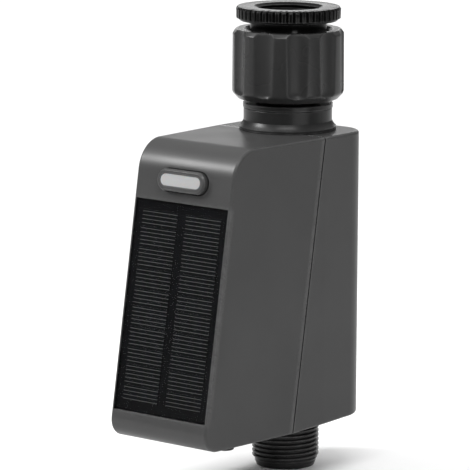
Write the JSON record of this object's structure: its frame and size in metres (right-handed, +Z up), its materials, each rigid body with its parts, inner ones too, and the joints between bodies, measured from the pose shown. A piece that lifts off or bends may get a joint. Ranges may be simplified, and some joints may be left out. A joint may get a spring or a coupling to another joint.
{
  "type": "drip irrigation timer",
  "caption": "Solar and battery powered tap timer that opens a ball valve to water a drip line: leaning solar face, button, swivel inlet nut with reducer and male hose outlet.",
  "frame": {"origin": "centre of the inlet's sealing plane, where the tap's end face meets the washer, on the inlet axis", "axes": "+Z up along the inlet and outlet axis, -Y towards the solar face, +X to the right of someone looking at the solar face"},
  "size_m": [0.0534, 0.0997, 0.1827],
  "materials": {
    "housing_plastic": "fine moulded grain, dark grey",
    "nut_plastic": "satin moulded, dark grey",
    "black_plastic": "satin moulded, black",
    "valve_plastic": "satin moulded, near black",
    "button_plastic": "satin moulded, dark grey",
    "filter_plastic": "moulded, grey",
    "rubber_black": "matt",
    "silicone_grey": "matt",
    "lens_white": "milky, light diffusing",
    "solar_clear": "clear coated",
    "solar_back": "black laminate",
    "solar_cell": "black silicon",
    "board_green": "solder mask",
    "chip_black": "moulded",
    "can_metal": "tinned",
    "steel": "zinc plated",
    "brass_plated": "nickel plated",
    "brass_plain": "machined",
    "battery_wrap": "shrink wrap",
    "acetal_white": "moulded",
    "ptfe_white": "machined",
    "wire_red": "insulated",
    "wire_black": "insulated"
  },
  "bodies": {
    "timer": {"front_housing": "housing_plastic", "rear_housing": "housing_plastic", "housing_seal": "rubber_black", "housing_screws": "steel", "solar_cover": "solar_clear", "solar_backsheet": "solar_back", "solar_cells": "solar_cell", "solar_leads": "wire_red", "button_seal": "silicone_grey", "tact_switch": "chip_black", "status_leds": "lens_white", "main_pcb": "board_green", "pcb_screws": "steel", "radio_module": "can_metal", "pcb_components": "chip_black", "battery_cell": "battery_wrap", "battery_holder": "black_plastic", "battery_contacts": "can_metal", "usb_board": "board_green", "usb_socket": "can_metal", "motor_leads": "wire_red", "sensor_leads": "wire_black", "nut_ring": "steel", "inlet_filter_frame": "filter_plastic", "inlet_filter_mesh": "can_metal", "neck_seal": "rubber_black", "valve_body": "valve_plastic", "outlet_fitting": "valve_plastic", "body_seal": "rubber_black", "outlet_screws": "steel", "ball_seats": "ptfe_white", "stem_gland": "brass_plated", "outlet_seal": "rubber_black", "idler_shaft": "steel", "motor_gearhead": "brass_plain", "motor_can": "can_metal", "gearbox_base": "filter_plastic", "base_screws": "steel", "gearbox_cover": "filter_plastic", "cover_screws": "steel", "motor_screws": "steel", "sensor_board": "board_green", "hall_sensors": "chip_black"},
    "nut": {"swivel_nut": "nut_plastic"},
    "reducer_carriage": {"inlet_washer": "rubber_black"},
    "reducer": {"reducer": "black_plastic", "tap_washer": "rubber_black"},
    "button": {"button_cap": "button_plastic", "button_lens": "lens_white", "tact_plunger": "chip_black"},
    "valve": {"valve_ball": "brass_plated", "valve_stem": "brass_plated", "stem_seals": "rubber_black", "output_gear": "acetal_white", "gear_clip": "steel", "position_magnet": "can_metal"},
    "idler": {"idler_gear": "acetal_white"},
    "rotor": {"motor_pinion": "brass_plain", "motor_shaft": "steel"},
    "port_plug": {"port_plug": "rubber_black"}
  },
  "joints": [
    {"name": "nut_spin", "type": "hinge", "parent": "timer", "child": "nut", "pos_m": [0, 0, -0.01], "axis": [0, 0, 1], "continuous": true},
    {"name": "reducer_lift", "type": "slide", "parent": "nut", "child": "reducer_carriage", "axis": [0, 0, 1], "range_m": [0, 0.01385]},
    {"name": "reducer_turn", "type": "hinge", "parent": "reducer_carriage", "child": "reducer", "pos_m": [0, 0, 0], "axis": [0, 0, 1], "range_deg": [0, 2160]},
    {"name": "button_press", "type": "slide", "parent": "timer", "child": "button", "axis": [0, 0.9866, -0.1633], "range_m": [0, 0.0008], "stiffness_N_per_m": 800},
    {"name": "valve_turn", "type": "hinge", "parent": "timer", "child": "valve", "pos_m": [0, 0, -0.088], "axis": [0, 1, 0], "range_deg": [0, 90]},
    {"name": "idler_turn", "type": "hinge", "parent": "timer", "child": "idler", "pos_m": [0, -0.03, -0.10892], "axis": [0, 1, 0], "range_deg": [-300, 0]},
    {"name": "motor_turn", "type": "hinge", "parent": "timer", "child": "rotor", "pos_m": [0, -0.03, -0.12344], "axis": [0, 1, 0], "range_deg": [0, 900]},
    {"name": "plug_pull", "type": "slide", "parent": "timer", "child": "port_plug", "axis": [0, 0, -1], "range_m": [0, 0.009]}
  ],
  "couplings": [
    {"joint": "reducer_turn", "follows": "reducer_lift", "rad_per_m": 2721.2},
    {"joint": "idler_turn", "follows": "valve_turn", "ratio": -3.3333},
    {"joint": "motor_turn", "follows": "valve_turn", "ratio": 10}
  ]
}
